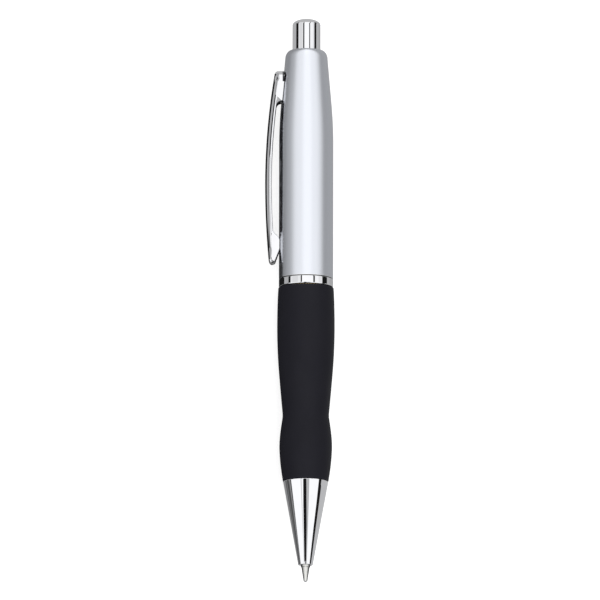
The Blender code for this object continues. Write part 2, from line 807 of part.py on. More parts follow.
def clip(frame):
    """A bowed arm with a deep root and a foot, both cut to the barrel's curve."""
    pivot = frame_empty("clip_pivot", frame, CLIP_PIVOT)
    bm = bmesh.new()
    for side in (-1, 1):
        rim = [bm.verts.new((x, side * clip_width(z) / 2, z)) for x, z in clip_outline()]
        bm.faces.new(rim)
    bm.edges.ensure_lookup_table()
    bmesh.ops.bridge_loops(bm, edges=bm.edges)
    arm = place("clip", bm, pivot, chrome("clip_chrome"), CLIP_PIVOT)
    edge = arm.modifiers.new("soft_edges", "BEVEL")
    edge.width = CLIP_EDGE
    edge.segments = 2
    edge.limit_method = "ANGLE"
    edge.angle_limit = math.radians(60)
    outline = [(r + CLIP_SEAT_GAP, z) for r, z in barrel_outline()]
    outline += [(0, BARREL_TOP), (0, RING_TOP + SEAM)]
    combine(arm, helper("clip_seat", turned(outline, SHELL_STEPS), frame), "DIFFERENCE")
    half = TAB_WIDTH / 2
    tab = block((TAB_INNER, -half, TAB_START), (TAB_OUTER, half, TAB_END))
    combine(arm, helper("clip_tab", tab, frame), "UNION")


# ---------------------------------------------------------------- assembly


def lay_down(frame):
    """Rest the pen on the ground at Z = 0: the grip's belly and an edge of the clip touch it."""
    corner = CLIP_EDGE
    out = CLIP_REACH - corner
    aside = clip_width(CLIP_CROWN) / 2 - corner
    roll = math.asin((GRIP_R - corner) / math.hypot(out, aside)) - math.atan2(aside, out)
    clip_side = out * math.cos(roll) + aside * math.sin(roll) + corner
    to_clip = Vector((0, -math.cos(roll), -math.sin(roll)))
    to_button = Vector((-1, 0, 0))
    across = to_button.cross(to_clip)
    turn = Matrix((to_clip, across, to_button)).transposed().to_4x4()
    spot = Vector((PEN_LENGTH / 2, (clip_side - GRIP_R) / 2, GRIP_R))
    frame.matrix_world = Matrix.Translation(spot) @ turn


def main():
    clear_scene()
    frame = frame_empty("pen_frame")
    slot = clip_slot(frame)
    upper_barrel(frame, slot)
    guide_sleeve(frame, slot)
    centre_ring(frame)
    threaded_coupler(frame)
    coupler_o_ring(frame)
    lower_barrel(frame)
    rubber_grip(frame)
    nose_cone(frame)
    return_spring(frame)
    clip(frame)
    button_carriage = frame_empty("button_carriage", frame, (0, 0, BUTTON_SKIRT))
    button_cap(button_carriage)
    plunger(button_carriage)
    rotor(button_carriage)
    refill_carriage = frame_empty("refill_carriage", frame, (0, 0, REFILL_END))
    refill_tip(refill_carriage)
    writing_ball(refill_carriage)
    refill_neck(refill_carriage)
    refill_tube(refill_carriage)
    refill_end_plug(refill_carriage)
    refill_filling(refill_carriage)
    lay_down(frame)


main()
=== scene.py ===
"""Looks for the retractable ballpoint pen: finer meshes, materials, light and camera.

Every piece is drawn along the pen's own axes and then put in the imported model's frame: local Z is the
distance behind the writing ball, towards the button, and local X points at the clip.
"""

import json
import math

import bmesh
import bpy
from mathutils import Matrix, Vector
from mathutils.geometry import delaunay_2d_cdt


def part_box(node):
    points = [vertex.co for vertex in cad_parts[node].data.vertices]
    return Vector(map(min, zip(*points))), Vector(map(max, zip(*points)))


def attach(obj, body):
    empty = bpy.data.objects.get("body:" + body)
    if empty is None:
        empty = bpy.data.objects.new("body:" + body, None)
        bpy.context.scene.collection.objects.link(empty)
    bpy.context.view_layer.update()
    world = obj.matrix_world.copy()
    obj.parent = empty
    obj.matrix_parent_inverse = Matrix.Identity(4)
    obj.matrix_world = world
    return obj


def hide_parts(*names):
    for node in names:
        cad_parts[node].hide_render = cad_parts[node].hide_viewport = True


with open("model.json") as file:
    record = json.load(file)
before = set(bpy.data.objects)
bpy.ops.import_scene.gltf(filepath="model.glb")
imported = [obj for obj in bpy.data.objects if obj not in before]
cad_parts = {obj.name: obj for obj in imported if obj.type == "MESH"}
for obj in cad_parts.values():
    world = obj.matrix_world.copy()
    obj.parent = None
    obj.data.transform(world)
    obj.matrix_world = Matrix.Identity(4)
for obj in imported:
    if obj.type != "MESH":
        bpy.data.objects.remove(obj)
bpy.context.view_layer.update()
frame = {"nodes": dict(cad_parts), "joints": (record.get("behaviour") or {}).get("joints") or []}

MM = 0.001
ROUND_STEPS = 144  # sides of the large turned pieces
FINE_STEPS = 48  # sides of the refill's point
SHARP_ANGLE = math.radians(35)
TINY = 1e-7  # points nearer to each other than this are one
FULL_WEAR_R = 0.25 * MM  # a corner rounded this tightly is worn most
NARROWEST = 0.02 * MM  # the least width a face is taken to have
WEAR_NAME = "edge_wear"


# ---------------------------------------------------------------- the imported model's frame


def joint_named(name):
    return next(joint for joint in frame["joints"] if joint["name"] == name)


def pen_matrix():
    """The matrix from the pen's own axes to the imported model's frame."""
    to_button = -Vector(joint_named("button_press")["axis"]).normalized()
    across = -Vector(joint_named("clip_flex")["axis"]).normalized()
    to_clip = across.cross(to_button)
    low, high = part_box("centre_ring")
    middle = (low + high) / 2
    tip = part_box("writing_ball")[1]
    turn = Matrix((to_clip, across, to_button)).transposed().to_4x4()
    return Matrix.Translation((tip.x, middle.y, middle.z)) @ turn


PEN = pen_matrix()


def station(node, end):
    """Where a node starts (0) or ends (1) behind the writing ball."""
    return PEN.translation.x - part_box(node)[1 - end].x


def girth(node):
    """A round node's outer radius."""
    low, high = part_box(node)
    return (high.y - low.y) / 2


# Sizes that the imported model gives
PEN_LENGTH = station("button_cap", 1)
BARREL_R = girth("centre_ring")
GRIP_R = girth("rubber_grip")
BARREL_START = station("upper_barrel", 0)
BARREL_TOP = station("upper_barrel", 1)
RING_START = station("centre_ring", 0)
RING_END = station("centre_ring", 1)
GRIP_START = station("rubber_grip", 0)
GRIP_END = station("rubber_grip", 1)
NOSE_START = station("nose_cone", 0)
NOSE_END = station("nose_cone", 1)
BUTTON_START = station("button_cap", 0)
BUTTON_R = girth("button_cap")
CLIP_START = station("clip", 0)
CLIP_TOP = station("clip", 1)


# ---------------------------------------------------------------- mesh helpers


def turned(profile, steps):
    """Spin a closed outline of (radius, station) points round the pen's axis."""
    bm = bmesh.new()
    ring = [bm.verts.new((radius, 0, z)) for radius, z in profile]
    pairs = zip(ring, ring[1:] + ring[:1])
    edges = [bm.edges.new(p) for p in pairs if p[0].co.x > TINY or p[1].co.x > TINY]
    bmesh.ops.spin(
        bm,
        geom=ring + edges,
        cent=(0, 0, 0),
        axis=(0, 0, 1),
        angle=2 * math.pi,
        steps=steps,
        use_merge=True,
    )
    return bm


SLIGHT_BEND = math.radians(12)  # corners that bend less than this stay as they are
CUT_SHARE = 0.4  # a rounded corner takes no more of either side than this
SUPPORT = 0.12 * MM  # distance of a support point from a rounded corner
LONG_SIDE = 4.0  # a side this many times a corner's own reach gets a support point


def eased(outline, radius, steps=3):
    """Round a closed outline's corners, with support points that keep long faces straight."""
    points = [Vector(p) for p in outline]
    result = []
    for before, corner, after in zip(points[-1:] + points, points, points[1:] + points[:1]):
        back, ahead = before - corner, after - corner
        turn = math.pi - back.angle(ahead)
        on_axis = corner.x < TINY
        if turn < SLIGHT_BEND or on_axis:
            result.append(tuple(corner))
            continue
        cut = min(radius * math.tan(turn / 2), back.length * CUT_SHARE, ahead.length * CUT_SHARE)
        start, end = corner + back.normalized() * cut, corner + ahead.normalized() * cut
        if back.length > LONG_SIDE * (cut + SUPPORT):
            result.append(tuple(start + back.normalized() * SUPPORT))
        for i in range(steps + 1):
            t = i / steps
            result.append(tuple(start * (1 - t) ** 2 + corner * 2 * t * (1 - t) + end * t * t))
        if ahead.length > LONG_SIDE * (cut + SUPPORT):
            result.append(tuple(end + ahead.normalized() * SUPPORT))
    return result


def quarter(centre_r, centre_z, half_r, half_z, steps):
    """Quarter ellipse from its widest radius up to its highest station."""
    angles = [math.pi / 2 * i / steps for i in range(steps + 1)]
    return [(centre_r + half_r * math.cos(a), centre_z + half_z * math.sin(a)) for a in angles]


def through(points, steps):
    """A smooth outline through a few (radius, station) points, by Catmull-Rom spans."""
    ends = [points[0]] + points + [points[-1]]
    outline = []
    for p0, p1, p2, p3 in zip(ends, ends[1:], ends[2:], ends[3:]):
        for i in range(steps):
            t = i / steps
            weights = (
                (-t + 2 * t * t - t**3) / 2,
                (2 - 5 * t * t + 3 * t**3) / 2,
                (t + 4 * t * t - 3 * t**3) / 2,
                (-t * t + t**3) / 2,
            )
            span = (p0, p1, p2, p3)
            outline.append(tuple(sum(w * p[k] for w, p in zip(weights, span)) for k in (0, 1)))
    return outline + [points[-1]]


def block(low, high):
    """A box between two corners, for cutting."""
    bm = bmesh.new()
    bmesh.ops.create_cube(bm, size=1)
    bmesh.ops.scale(bm, verts=bm.verts, vec=Vector(high) - Vector(low))
    bmesh.ops.translate(bm, verts=bm.verts, vec=(Vector(high) + Vector(low)) / 2)
    return bm


def pen_direction(x, y, z):
    """A direction along the pen's own axes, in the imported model's frame."""
    return (PEN.to_3x3() @ Vector((x, y, z))).normalized()


def solid(name, bm):
    """bm, drawn about the pen's own axes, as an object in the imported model's frame."""
    bmesh.ops.remove_doubles(bm, verts=bm.verts, dist=TINY)
    bmesh.ops.recalc_face_normals(bm, faces=bm.faces)
    bmesh.ops.transform(bm, matrix=PEN, verts=bm.verts)
    mesh = bpy.data.meshes.new(name)
    bm.to_mesh(mesh)
    bm.free()
    obj = bpy.data.objects.new(name, mesh)
    bpy.context.scene.collection.objects.link(obj)
    return obj


def combine(obj, other, operation):
    """Add or cut another object, which goes, and keep the result as obj's mesh."""
    modifier = obj.modifiers.new(operation.lower(), "BOOLEAN")
    modifier.operation = operation
    modifier.solver = "MANIFOLD"
    modifier.object = other
    graph = bpy.context.evaluated_depsgraph_get()
    made = bpy.data.meshes.new_from_object(obj.evaluated_get(graph))
    obj.modifiers.clear()
    obj.data = made
    bpy.data.objects.remove(other)


def width_beside(edge):
    """The width of the narrower face beside an edge, measured across the edge."""
    length = max(edge.calc_length(), TINY)
    return min(face.calc_area() / length for face in edge.link_faces)


def mark_wear(mesh):
    """Store how sharply the surface bends at each point, so that materials can wear there."""
    bm = bmesh.new()
    bm.from_mesh(mesh)
    wear = []
    for vert in bm.verts:
        closed = [edge for edge in vert.link_edges if len(edge.link_faces) == 2]
        bends = [edge.calc_face_angle_signed(0) / max(width_beside(edge), NARROWEST) for edge in closed]
        wear.append(min(1.0, max(0.0, max(bends, default=0) * FULL_WEAR_R)))
    bm.free()
    attribute = mesh.attributes.new(WEAR_NAME, "FLOAT", "POINT")
    attribute.data.foreach_set("value", wear)


def settle(obj, body, node, look):
    """Shade a finished piece, give it its material and put it on its body in place of a CAD node."""
    mesh = obj.data
    mesh.materials.clear()
    mesh.materials.append(look)
    mesh.shade_smooth()
    mesh.set_sharp_from_angle(angle=SHARP_ANGLE)
    mark_wear(mesh)
    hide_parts(node)
    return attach(obj, body)


# ---------------------------------------------------------------- shader helpers


class Nodes:
    """A node tree under construction."""

    def __init__(self, tree):
        self.tree = tree

    def add(self, kind, **settings):
        node = self.tree.nodes.new(kind)
        for key, value in settings.items():
            setattr(node, key, value)
        return node

    def link(self, source, target):
        self.tree.links.new(source, target)

    def put(self, socket, value):
        """Give a socket a fixed value, or feed it from another node."""
        if isinstance(value, bpy.types.NodeSocket):
            self.link(value, socket)
        else:
            socket.default_value = value

    def math(self, operation, *values):
        node = self.add("ShaderNodeMath", operation=operation)
        for socket, value in zip(node.inputs, values):
            self.put(socket, value)
        return node.outputs["Value"]

    def along(self, vector, direction):
        """How far a vector reaches along a direction."""
        node = self.add("ShaderNodeVectorMath", operation="DOT_PRODUCT")
        node.inputs[1].default_value = direction
        self.link(vector, node.inputs[0])
        return node.outputs["Value"]

    def ranged(self, value, low=0.0, high=1.0, start=0.3, stop=0.7, **settings):
        """value, between start and stop, taken to between low and high."""
        node = self.add("ShaderNodeMapRange", **settings)
        node.inputs["From Min"].default_value = start
        node.inputs["From Max"].default_value = stop
        node.inputs["To Min"].default_value = low
        node.inputs["To Max"].default_value = high
        self.link(value, node.inputs["Value"])
        return node.outputs["Result"]


class Look(Nodes):
    """A material under construction: one Principled shader and the textures that feed it."""

    def __init__(self, name, colour, metallic, roughness):
        self.material = bpy.data.materials.new(name)
        self.material.use_nodes = True
        super().__init__(self.material.node_tree)
        self.shader = self.tree.nodes["Principled BSDF"]
        self.set("Base Color", (*colour, 1))
        self.set("Metallic", metallic)
        self.set("Roughness", roughness)
        self.material.diffuse_color = (*colour, 1)

    def set(self, socket, value):
        self.shader.inputs[socket].default_value = value

    def feed(self, socket, value):
        self.link(value, self.shader.inputs[socket])

    def noise(self, grain, stretch=1.0, detail=3.0, rough=0.5):
        """Noise with features of the given size in metres, stretched along the pen."""
        place = self.add("ShaderNodeTexCoord")
        mapping = self.add("ShaderNodeMapping")
        mapping.inputs["Scale"].default_value = (1 / stretch, 1, 1)
        texture = self.add("ShaderNodeTexNoise")
        texture.inputs["Scale"].default_value = 1 / grain
        texture.inputs["Detail"].default_value = detail
        texture.inputs["Roughness"].default_value = rough
        self.link(place.outputs["Object"], mapping.inputs["Vector"])
        self.link(mapping.outputs["Vector"], texture.inputs["Vector"])
        return texture.outputs["Fac"]

    def wear(self):
        """The share of wear stored on the mesh."""
        return self.add("ShaderNodeAttribute", attribute_name=WEAR_NAME).outputs["Fac"]

    def mixed(self, share, first, second):
        """A colour between two, by share."""
        node = self.add("ShaderNodeMix", data_type="RGBA")
        colours = [s for s in node.inputs if s.type == "RGBA"]
        for socket, value in zip(colours, (first, second)):
            self.put(socket, (*value, 1) if isinstance(value, tuple) else value)
        self.link(share, node.inputs["Factor"])
        return next(s for s in node.outputs if s.type == "RGBA")

    def bump(self, height, depth):
        """Raise the surface by height times depth, in metres; calls stack."""
        node = self.add("ShaderNodeBump")
        node.inputs["Distance"].default_value = depth
        self.link(height, node.inputs["Height"])
        old = self.shader.inputs["Normal"].links
        if old:
            self.link(old[0].from_socket, node.inputs["Normal"])
        self.feed("Normal", node.outputs["Normal"])


def toned(colour, share):
    """A colour made darker or paler."""
    return tuple(share * c for c in colour)


# ---------------------------------------------------------------- materials


CHROME_TINT = (0.905, 0.91, 0.935)
# Painted shade: the dark colour of the clip's faces turned to the barrel and of the shadow in the seam at
# the slot
CLIP_PAINTED_SHADE = (0.03, 0.03, 0.035)
PLATE_ROUGHNESS = 0.002
MIRROR_LIMIT = 0.0034  # Cycles still takes plate this smooth for a mirror
STAIN_TONE = 0.93
STAIN_SHARE = 0.5
CLIP_WAVE = 1.5e-6  # depth of the clip's hand-polished waves, in metres
SEAM_X = 5.78 * MM  # above SEAM_LOW the clip is cut back, and painted dark as a shadow, nearer to the pen's axis than this
SEAM_LOW = 124.1 * MM
SEAM_FADE = 0.1 * MM


def plate(look, colour, wave=0.0):
    """Finish a chrome look: stained faintly, mirror smooth and a little softer where it is handled."""
    stain = look.ranged(look.noise(grain=2.5 * MM, detail=5.0), start=0.45, stop=0.75)
    stained = toned(CHROME_TINT, STAIN_TONE)
    look.feed("Base Color", look.mixed(look.math("MULTIPLY", stain, STAIN_SHARE), colour, stained))
    look.feed("Roughness", look.ranged(look.noise(grain=0.8 * MM), high=MIRROR_LIMIT))
    look.bump(look.noise(grain=1.6 * MM, detail=1.0), depth=0.25e-6)
    if wave:
        look.bump(look.noise(grain=1.2 * MM, stretch=1.5, detail=1.0), depth=wave)
    return look.material


def chrome(name):
    """Bright chrome plate."""
    return plate(Look(name, CHROME_TINT, 1.0, PLATE_ROUGHNESS), CHROME_TINT)


def clip_chrome():
    """Chrome with painted shade on the faces turned to the barrel and a painted shadow in the seam at the
    slot.
    """
    look = Look("clip_chrome_look", CHROME_TINT, 1.0, PLATE_ROUGHNESS)
    place = look.add("ShaderNodeNewGeometry")
    turned_in = look.along(place.outputs["Normal"], pen_direction(-1, 0, -1))
    # Painted shade, darkest on the faces turned to the barrel and to the point
    underside_shade = look.ranged(turned_in, start=0.2, stop=0.45)
    colour = look.mixed(underside_shade, CHROME_TINT, CLIP_PAINTED_SHADE)
    # Painted shadow in the seam where the clip's root meets the barrel: above SEAM_LOW and nearer the
    # axis than SEAM_X
    across = pen_direction(1, 0, 0)
    along = pen_direction(0, 0, 1)
    origin = PEN.to_translation()
    start = origin.dot(across) + SEAM_X
    distance = look.along(place.outputs["Position"], across)
    near = look.ranged(distance, low=1.0, high=0.0, start=start, stop=start + SEAM_FADE)
    low = origin.dot(along) + SEAM_LOW
    height = look.along(place.outputs["Position"], along)
    high = look.ranged(height, start=low, stop=low + SEAM_FADE)
    seam = look.math("MULTIPLY", near, high)
    return plate(look, look.mixed(seam, colour, CLIP_PAINTED_SHADE), CLIP_WAVE)


SATIN = (0.765, 0.79, 0.85)
SATIN_BRIGHT = (0.785, 0.81, 0.87)
SATIN_SHADE = (0.75, 0.775, 0.835)
SATIN_WORN = (0.88, 0.89, 0.91)
SATIN_CLOUD_SHARE = 0.25
SATIN_POLISH = 0.05  # how much smoother a worn edge is


def satin_silver():
    """Silver lacquer on plastic: fine flake under a soft sheen, rubbed smoother at the edges."""
    look = Look("satin_silver_look", SATIN, metallic=1.0, roughness=0.22)
    flake = look.ranged(look.noise(grain=0.1 * MM, detail=2.0, rough=0.7), start=0.35, stop=0.65)
    cloud = look.ranged(look.noise(grain=9 * MM, detail=2.0))
    colour = look.mixed(flake, SATIN_SHADE, SATIN_BRIGHT)
    colour = look.mixed(look.math("MULTIPLY", cloud, SATIN_CLOUD_SHARE), colour, SATIN)
    look.feed("Base Color", look.mixed(look.wear(), colour, SATIN_WORN))
    rough = look.ranged(look.noise(grain=0.5 * MM, stretch=2.0), low=0.20, high=0.24)
    polish = look.math("MULTIPLY", look.wear(), SATIN_POLISH)
    look.feed("Roughness", look.math("SUBTRACT", rough, polish))
    look.bump(look.noise(grain=0.14 * MM, detail=2.0, rough=0.6), depth=0.05e-6)
    look.bump(look.noise(grain=2.4 * MM, detail=1.0), depth=0.3e-6)
    return look.material


RUBBER = (0.0050, 0.0049, 0.0098)
RUBBER_SPECULAR = 0.22
RUBBER_SHEEN = 0.015
RUBBER_SHEEN_ROUGHNESS = 0.5
RUBBER_POLISH = 0.1  # how much smoother a worn edge is
DUST_TONE = 1.45  # brightness of dusty rubber against clean
RUBBED_TONE = 1.8
SPECK_SHARE = 0.6  # how much of the dust lies in specks


def soft_rubber(name, grain):
    """Matt moulded rubber: a spark-eroded grain, a little dust and handling shine."""
    look = Look(name, RUBBER, metallic=0.0, roughness=0.62)
    look.set("Specular IOR Level", RUBBER_SPECULAR)
    look.set("Sheen Weight", RUBBER_SHEEN)
    look.set("Sheen Roughness", RUBBER_SHEEN_ROUGHNESS)
    dust = look.ranged(look.noise(grain=3.5 * MM, detail=6.0, rough=0.65), start=0.4, stop=0.8)
    speck = look.ranged(look.noise(grain=0.3 * MM, detail=2.0), start=0.5, stop=0.8)
    specks = look.math("MULTIPLY", speck, SPECK_SHARE)
    share = look.math("MULTIPLY", dust, look.math("ADD", specks, 1 - SPECK_SHARE))
    tone = look.mixed(share, RUBBER, toned(RUBBER, DUST_TONE))
    look.feed("Base Color", look.mixed(look.wear(), tone, toned(RUBBER, RUBBED_TONE)))
    handled = look.ranged(look.noise(grain=6 * MM, stretch=2.0), low=0.68, high=0.54)
    polish = look.math("MULTIPLY", look.wear(), RUBBER_POLISH)
    look.feed("Roughness", look.math("SUBTRACT", handled, polish))
    look.bump(look.noise(grain, detail=3.0, rough=0.6), depth=7e-6)
    return look.material


METAL_DULL_TONE = 0.72
# Painted shade: the dark colour that a bare metal's limbs are given
METAL_PAINTED_LIMB_SHADE = (0.03, 0.03, 0.033)
METAL_SMOOTH = 0.75  # the least and most roughness among tool marks, against the metal's own
METAL_ROUGH = 1.4


def bare_metal(name, colour, roughness, stretch=0.15, edge=0.0):
    """Turned or drawn metal with fine tool marks and dull patches; edge paints shade on its limbs."""
    look = Look(name, colour, 1.0, roughness)
    patch = look.ranged(look.noise(grain=0.9 * MM, detail=5.0), high=0.7, start=0.45, stop=0.8)
    shade = look.mixed(patch, colour, toned(colour, METAL_DULL_TONE))
    # Painted shade: the colour darkens where the surface turns away from the view, by edge
    if edge:
        facing = look.add("ShaderNodeLayerWeight")
        facing.inputs["Blend"].default_value = edge
        share = look.ranged(facing.outputs["Facing"], start=0.08, stop=0.4)
        shade = look.mixed(share, shade, METAL_PAINTED_LIMB_SHADE)
    look.feed("Base Color", shade)
    marks = look.noise(grain=0.12 * MM, stretch=stretch, detail=3.0)
    look.feed("Roughness", look.ranged(marks, roughness * METAL_SMOOTH, roughness * METAL_ROUGH))
    look.bump(marks, depth=0.8e-6)
    return look.material


FLOW_TONE = 0.9
MOULD_SMOOTH = 0.85
MOULD_ROUGH = 1.15


def moulded(name, colour, roughness):
    """Plain moulded plastic with flow marks and a faint mould texture."""
    look = Look(name, colour, 0.0, roughness)
    flow = look.ranged(look.noise(grain=2.2 * MM, stretch=3.0, detail=4.0))
    look.feed("Base Color", look.mixed(flow, colour, toned(colour, FLOW_TONE)))
    mould = look.noise(grain=0.4 * MM)
    look.feed("Roughness", look.ranged(mould, roughness * MOULD_SMOOTH, roughness * MOULD_ROUGH))
    look.bump(look.noise(grain=0.25 * MM, detail=2.0), depth=1.5e-6)
    return look.material


# ---------------------------------------------------------------- outer pieces


# Distances behind the writing ball, and radii, that the photo or the bores inside give
TAPER_START = 108.5 * MM
TAPER_BLEND = 10.0 * MM
TAPER_SLOPE = 0.087
SHOULDER = 130.0 * MM
RIM_R = 3.75 * MM
RIM_HOLE_R = 3.65 * MM
SOCKET_R = 5.4 * MM
SOCKET_END = 86.5 * MM
WAIST_BORE_R = 5.1 * MM
SLEEVE_BORE_R = 4.85 * MM
SLEEVE_BORE_START = 104.0 * MM
SLEEVE_BORE_END = 124.4 * MM
SLEEVE_SHOULDER = 0.5 * MM
RIM_BORE_START = 126.4 * MM
BARREL_EASE = 0.1 * MM


def barrel_radius(z):
    """The upper barrel's radius where it tapers: curved at first, then straight."""
    past = z - TAPER_START
    blend = min(past, TAPER_BLEND)
    drop = TAPER_SLOPE * blend**2 / (2 * TAPER_BLEND) + TAPER_SLOPE * (past - blend)
    return BARREL_R - drop


def barrel_outline():
    """The outside of the upper barrel, from the ring to the rim round the button."""
    plain_steps, taper_steps, shoulder_steps = 14, 20, 12
    outline = []
    for i in range(plain_steps):
        outline.append((BARREL_R, BARREL_START + (TAPER_START - BARREL_START) * i / plain_steps))
    for i in range(taper_steps):
        z = TAPER_START + (SHOULDER - TAPER_START) * i / taper_steps
        outline.append((barrel_radius(z), z))
    width = barrel_radius(SHOULDER) - RIM_R
    return outline + quarter(RIM_R, SHOULDER, width, BARREL_TOP - SHOULDER, shoulder_steps)


SLOT_HALF_WIDTH = 1.7 * MM
SLOT_START = 120.0 * MM
SLOT_END = 126.0 * MM
SLOT_INNER = 3.95 * MM
SLOT_OUTER = 7.0 * MM


def upper_barrel():
    """The satin shell, bored for the pieces inside and slotted for the clip."""
    bore = [
        (RIM_HOLE_R, BARREL_TOP),
        (RIM_HOLE_R, RIM_BORE_START),
        (SLEEVE_BORE_R, SLEEVE_BORE_END),
        (SLEEVE_BORE_R, SLEEVE_BORE_START),
        (WAIST_BORE_R, SLEEVE_BORE_START - SLEEVE_SHOULDER),
        (WAIST_BORE_R, SOCKET_END),
        (SOCKET_R, SOCKET_END),
        (SOCKET_R, BARREL_START),
    ]
    outline = eased(barrel_outline() + bore, BARREL_EASE)
    shell = solid("upper_barrel_shell", turned(outline, ROUND_STEPS))
    low = (SLOT_INNER, -SLOT_HALF_WIDTH, SLOT_START)
    high = (SLOT_OUTER, SLOT_HALF_WIDTH, SLOT_END)
    combine(shell, solid("slot_cutter", block(low, high)), "DIFFERENCE")
    settle(shell, "barrel", "upper_barrel", satin_silver())


RING_BORE_R = 5.4 * MM
RING_EASE = 0.14 * MM


def centre_ring():
    """The plain band between the halves."""
    outline = [
        (RING_BORE_R, RING_START),
        (BARREL_R, RING_START),
        (BARREL_R, RING_END),
        (RING_BORE_R, RING_END),
    ]
    ring = solid("centre_ring_trim", turned(eased(outline, RING_EASE, steps=5), ROUND_STEPS))
    settle(ring, "barrel", "centre_ring", chrome("ring_chrome_look"))


GRIP_BORE_R = 5.1 * MM
GRIP_CROWN_SINK = 0.1 * MM  # the belly's widest point stays this far inside the CAD radius
GRIP_EASE = 0.16 * MM
GRIP_GRAIN = 0.16 * MM
GRIP_LONG_BELLY = [  # (radius, distance behind the writing ball), from the ring to the waist
    (6.78 * MM, GRIP_END),
    (6.96 * MM, 68.5 * MM),
    (GRIP_R - GRIP_CROWN_SINK, 62.0 * MM),
    (6.82 * MM, 55.5 * MM),
    (6.29 * MM, 48.5 * MM),
    (5.68 * MM, 41.8 * MM),
]
GRIP_SHORT_BELLY = [  # from the waist to the cone
    (5.68 * MM, 40.8 * MM),
    (6.26 * MM, 36.6 * MM),
    (6.43 * MM, 33.2 * MM),
    (6.15 * MM, 29.0 * MM),
    (5.58 * MM, GRIP_START),
]


def rubber_grip():
    """A long belly, a waist for the fingers and a short belly, with rolled ends."""
    outside = through(GRIP_LONG_BELLY, steps=8) + through(GRIP_SHORT_BELLY, steps=8)
    bore = [(GRIP_BORE_R, GRIP_START), (GRIP_BORE_R, GRIP_END)]
    outline = eased(outside + bore, GRIP_EASE, steps=4)
    grip = solid("rubber_grip_sleeve", turned(outline, ROUND_STEPS))
    look = soft_rubber("grip_rubber_look", GRIP_GRAIN)
    settle(grip, "barrel", "rubber_grip", look)


NOSE_R = 1.76 * MM
CONE_R = 5.51 * MM
CONE_TOP = 24.8 * MM
NOSE_HOLE_R = 1.3 * MM
NOSE_HOLE_END = 7.2 * MM
NECK_ROOM_R = 1.78 * MM
SPRING_SEAT = 10.5 * MM
SPRING_ROOM_R = 2.5 * MM
REFILL_ROOM_START = 19.5 * MM
TUBE_BORE_R = 3.2 * MM
SPIGOT_ROOT_R = 4.0 * MM
SPIGOT_R = 4.25 * MM
SPIGOT_THREAD_START = 26.2 * MM
SPIGOT_PITCH = 1.8 * MM
SPIGOT_RIDGES = 3
NOSE_EASE = 0.12 * MM


def nose_cone():
    """The cone, its threaded spigot and the stepped bore for the refill and spring."""
    ridges = []
    for i in range(SPIGOT_RIDGES):
        z = SPIGOT_THREAD_START + i * SPIGOT_PITCH
        ridges += [(SPIGOT_ROOT_R, z), (SPIGOT_R, z + SPIGOT_PITCH / 2)]
    ridges.append((SPIGOT_ROOT_R, SPIGOT_THREAD_START + SPIGOT_RIDGES * SPIGOT_PITCH))
    outline = [
        (NOSE_HOLE_R, NOSE_START),
        (NOSE_R, NOSE_START),
        (CONE_R, CONE_TOP),
        (SPIGOT_ROOT_R, CONE_TOP),
        *ridges,
        (SPIGOT_ROOT_R, NOSE_END),
        (TUBE_BORE_R, NOSE_END),
        (TUBE_BORE_R, REFILL_ROOM_START),
        (SPRING_ROOM_R, REFILL_ROOM_START),
        (SPRING_ROOM_R, SPRING_SEAT),
        (NECK_ROOM_R, SPRING_SEAT),
        (NECK_ROOM_R, NOSE_HOLE_END),
        (NOSE_HOLE_R, NOSE_HOLE_END),
    ]
    cone = solid("nose_cone_shell", turned(eased(outline, NOSE_EASE, steps=5), ROUND_STEPS))
    settle(cone, "barrel", "nose_cone", chrome("nose_chrome_look"))


BUTTON_DOME = 1.5 * MM
BUTTON_BORE_R = 3.0 * MM
BUTTON_BORE_END = 137.4 * MM
BUTTON_EASE = 0.1 * MM


def button_cap():
    """A hollow button with a domed top."""
    bore = [
        (0, BUTTON_BORE_END),
        (BUTTON_BORE_R, BUTTON_BORE_END),
        (BUTTON_BORE_R, BUTTON_START),
    ]
    side = [(BUTTON_R, BUTTON_START)]
    dome = quarter(0, PEN_LENGTH - BUTTON_DOME, BUTTON_R, BUTTON_DOME, steps=24)
    outline = eased(bore + side + dome, BUTTON_EASE)
    cap = solid("button_cap_shell", turned(outline, ROUND_STEPS))
    settle(cap, "button", "button_cap", chrome("button_chrome_look"))


# ---------------------------------------------------------------- clip


CLIP_REACH = 10.05 * MM  # pen axis to the crown of the clip
CLIP_CROWN = 99.0 * MM  # where that crown is, with a shallow arc above it and another below
CLIP_UPPER_BOW_R = 165.0 * MM
CLIP_LOWER_BOW_R = 205.0 * MM
CLIP_ROOF = CLIP_TOP + 0.4 * MM
CLIP_TIP = CLIP_START + 0.3 * MM
CLIP_DEPTH = 1.6 * MM
CLIP_TOP_WIDTH = 4.4 * MM
CLIP_END_WIDTH = 3.6 * MM
CLIP_SEAT_GAP = 0.15 * MM  # lets the clip rock on its hinge clear of the barrel
SECTION_ANGLE = math.radians(58)  # half the arc of the clip's rounded outer face
CLIP_EDGE = 0.2 * MM
CLIP_RINGS = 20  # steps across the clip
CLIP_EDGE_RINGS = 5
CLIP_CORE_X = BARREL_R / 2  # the arm is drawn in to here, then cut back to the barrel
ROOT_FLOOR = 119.2 * MM
ROOT_FILLET = 1.25 * MM
FOOT_TOP = 86.9 * MM
FOOT_PAD_X = BARREL_R - 0.3 * MM
FOOT_PAD_START = 82.6 * MM
FOOT_PAD_END = 84.6 * MM
INSTEP = ((7.67 * MM, 86.3 * MM), (6.91 * MM, 85.6 * MM))
HEEL = (6.98 * MM, 80.9 * MM)
HEEL_END = (7.62 * MM, 79.2 * MM)
TIP_UNDERSIDE = (7.86 * MM, CLIP_TIP + 0.16 * MM)
TIP_LOWEST = (8.35 * MM, CLIP_TIP)
TIP_CORNER = 0.25 * MM
TIP_CORNER_RISE = 0.3 * MM
